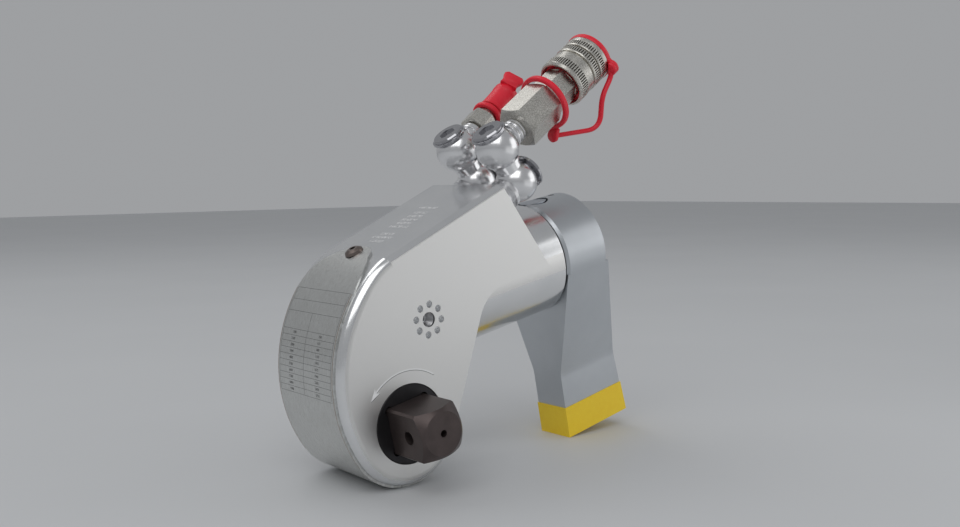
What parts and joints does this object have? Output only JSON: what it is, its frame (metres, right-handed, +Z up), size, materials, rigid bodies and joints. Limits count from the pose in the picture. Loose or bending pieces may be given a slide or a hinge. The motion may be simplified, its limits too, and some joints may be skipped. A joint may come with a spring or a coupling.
{
  "type": "hydraulic torque wrench",
  "caption": "Square-drive hydraulic torque wrench with a slanted ratchet head, a splined reaction arm and swivelling hose couplers under dust caps.",
  "frame": {"origin": "on the square drive's axis, in the middle of the housing's width", "axes": "-Y along the drive towards the square's free end; the cylinder leads away towards +X and rises by the stance pitch of 11.9 degrees; +Z up, as the tool stands on its head and the foot of its reaction arm"},
  "size_m": [0.2297, 0.1031, 0.2478],
  "materials": {
    "polished_aluminium": "satin to polished",
    "brushed_strap": "brushed",
    "screw_steel": "machined",
    "black_oxide": "black oxide, satin",
    "button_steel": "machined",
    "bronze": "machined",
    "tool_steel": "ground",
    "spring_steel": "drawn",
    "hard_chrome": "polished",
    "seal_rubber": "matt",
    "arm_steel": "satin nickel",
    "yellow_dip": "matt plastic dip",
    "nickel_plate": "nickel plated",
    "red_rubber": "semi-gloss"
  },
  "bodies": {
    "housing": {"housing": "polished_aluminium", "shroud_strap": "brushed_strap", "strap_screws": "screw_steel", "drive_bushings": "bronze", "end_cap": "tool_steel", "end_cap_seal": "seal_rubber", "holding_pawl_pin": "tool_steel", "port_post_near": "hard_chrome", "port_post_far": "hard_chrome", "lower_cap_near": "hard_chrome", "lower_cap_far": "hard_chrome"},
    "drive": {"square_drive": "black_oxide", "drive_sleeve_near": "black_oxide", "drive_sleeve_far": "black_oxide", "ratchet_wheel": "tool_steel", "drive_retainer": "black_oxide", "retainer_spring": "spring_steel"},
    "retainer_button": {"retainer_button": "button_steel", "retainer_plunger": "button_steel"},
    "piston": {"piston": "tool_steel", "piston_seal": "seal_rubber", "piston_rod": "hard_chrome"},
    "lever": {"drive_plate_near": "tool_steel", "drive_plate_far": "tool_steel", "lever_pin": "tool_steel", "pawl_pin": "tool_steel", "pawl_spring": "spring_steel"},
    "drive_pawl": {"drive_pawl": "tool_steel"},
    "holding_pawl": {"holding_pawl": "tool_steel"},
    "arm": {"reaction_arm": "arm_steel", "foot_dip": "yellow_dip", "detent_screw": "screw_steel"},
    "latch_button": {"latch_button": "button_steel"},
    "near_lower_swivel": {"lower_ball_near": "hard_chrome", "cross_stem_near": "hard_chrome", "upper_cap_near": "hard_chrome"},
    "near_upper_swivel": {"upper_ball_near": "hard_chrome", "hex_adapter": "nickel_plate", "coupler_body": "nickel_plate", "loose_ring": "red_rubber", "tether": "red_rubber"},
    "coupler_sleeve": {"coupler_sleeve": "nickel_plate"},
    "near_cap": {"near_dust_cap": "red_rubber"},
    "far_lower_swivel": {"lower_ball_far": "hard_chrome", "cross_stem_far": "hard_chrome", "upper_cap_far": "hard_chrome"},
    "far_upper_swivel": {"upper_ball_far": "hard_chrome", "far_nipple": "nickel_plate", "far_cap_ring": "red_rubber"},
    "far_cap": {"far_dust_cap": "red_rubber"}
  },
  "joints": [
    {"name": "drive_turn", "type": "hinge", "parent": "housing", "child": "drive", "pos_m": [0, 0, 0], "axis": [0, -1, 0], "continuous": true},
    {"name": "retainer_press", "type": "slide", "parent": "drive", "child": "retainer_button", "axis": [0, -1, 0], "range_m": [0, 0.002], "stiffness_N_per_m": 600, "springref_m": -0.003},
    {"name": "piston_stroke", "type": "slide", "parent": "housing", "child": "piston", "axis": [-0.9785, 0, -0.2064], "range_m": [0, 0.02274]},
    {"name": "plate_swing", "type": "hinge", "parent": "housing", "child": "lever", "pos_m": [0, 0, 0], "axis": [0, -1, 0], "range_deg": [0, 24.02]},
    {"name": "drive_pawl_seat", "type": "hinge", "parent": "lever", "child": "drive_pawl", "pos_m": [0.01805, 0, 0.03115], "axis": [0, -1, 0], "range_deg": [0, 9], "stiffness_Nm_per_rad": 0.02, "springref_deg": 28.65},
    {"name": "holding_pawl_seat", "type": "hinge", "parent": "housing", "child": "holding_pawl", "pos_m": [-0.034, 0, 0.02553], "axis": [0, -1, 0], "range_deg": [0, 6.5], "stiffness_Nm_per_rad": 0.02, "springref_deg": 28.65},
    {"name": "arm_slide", "type": "slide", "parent": "housing", "child": "arm", "axis": [0.9785, 0, 0.2064], "range_m": [0, 0.03]},
    {"name": "latch_press", "type": "slide", "parent": "arm", "child": "latch_button", "axis": [0.2064, 0, -0.9785], "range_m": [0, 0.0015], "stiffness_N_per_m": 800, "springref_m": -0.003},
    {"name": "near_lower_turn", "type": "hinge", "parent": "housing", "child": "near_lower_swivel", "pos_m": [0.08829, -0.0181, 0.12475], "axis": [0.7975, 0, 0.6033], "range_deg": [-20, 100]},
    {"name": "near_upper_turn", "type": "hinge", "parent": "near_lower_swivel", "child": "near_upper_swivel", "pos_m": [0.07381, -0.0181, 0.14389], "axis": [-0.6033, 0, 0.7975], "range_deg": [-100, 5]},
    {"name": "coupler_sleeve_turn", "type": "hinge", "parent": "near_upper_swivel", "child": "coupler_sleeve", "pos_m": [0.07381, -0.0181, 0.14389], "axis": [0.7975, 0, 0.6033], "continuous": true},
    {"name": "near_cap_pull", "type": "slide", "parent": "near_upper_swivel", "child": "near_cap", "axis": [0.7975, 0, 0.6033], "range_m": [0, 0.024]},
    {"name": "far_lower_turn", "type": "hinge", "parent": "housing", "child": "far_lower_swivel", "pos_m": [0.08829, 0.0181, 0.12475], "axis": [0.7975, 0, 0.6033], "range_deg": [-100, 20]},
    {"name": "far_upper_turn", "type": "hinge", "parent": "far_lower_swivel", "child": "far_upper_swivel", "pos_m": [0.07381, 0.0181, 0.14389], "axis": [-0.6033, 0, 0.7975], "range_deg": [-5, 100]},
    {"name": "far_cap_pull", "type": "slide", "parent": "far_upper_swivel", "child": "far_cap", "axis": [0.7854, 0.1736, 0.5942], "range_m": [0, 0.022]}
  ],
  "couplings": [
    {"joint": "plate_swing", "follows": "piston_stroke", "rad_per_m": 18.417}
  ]
}
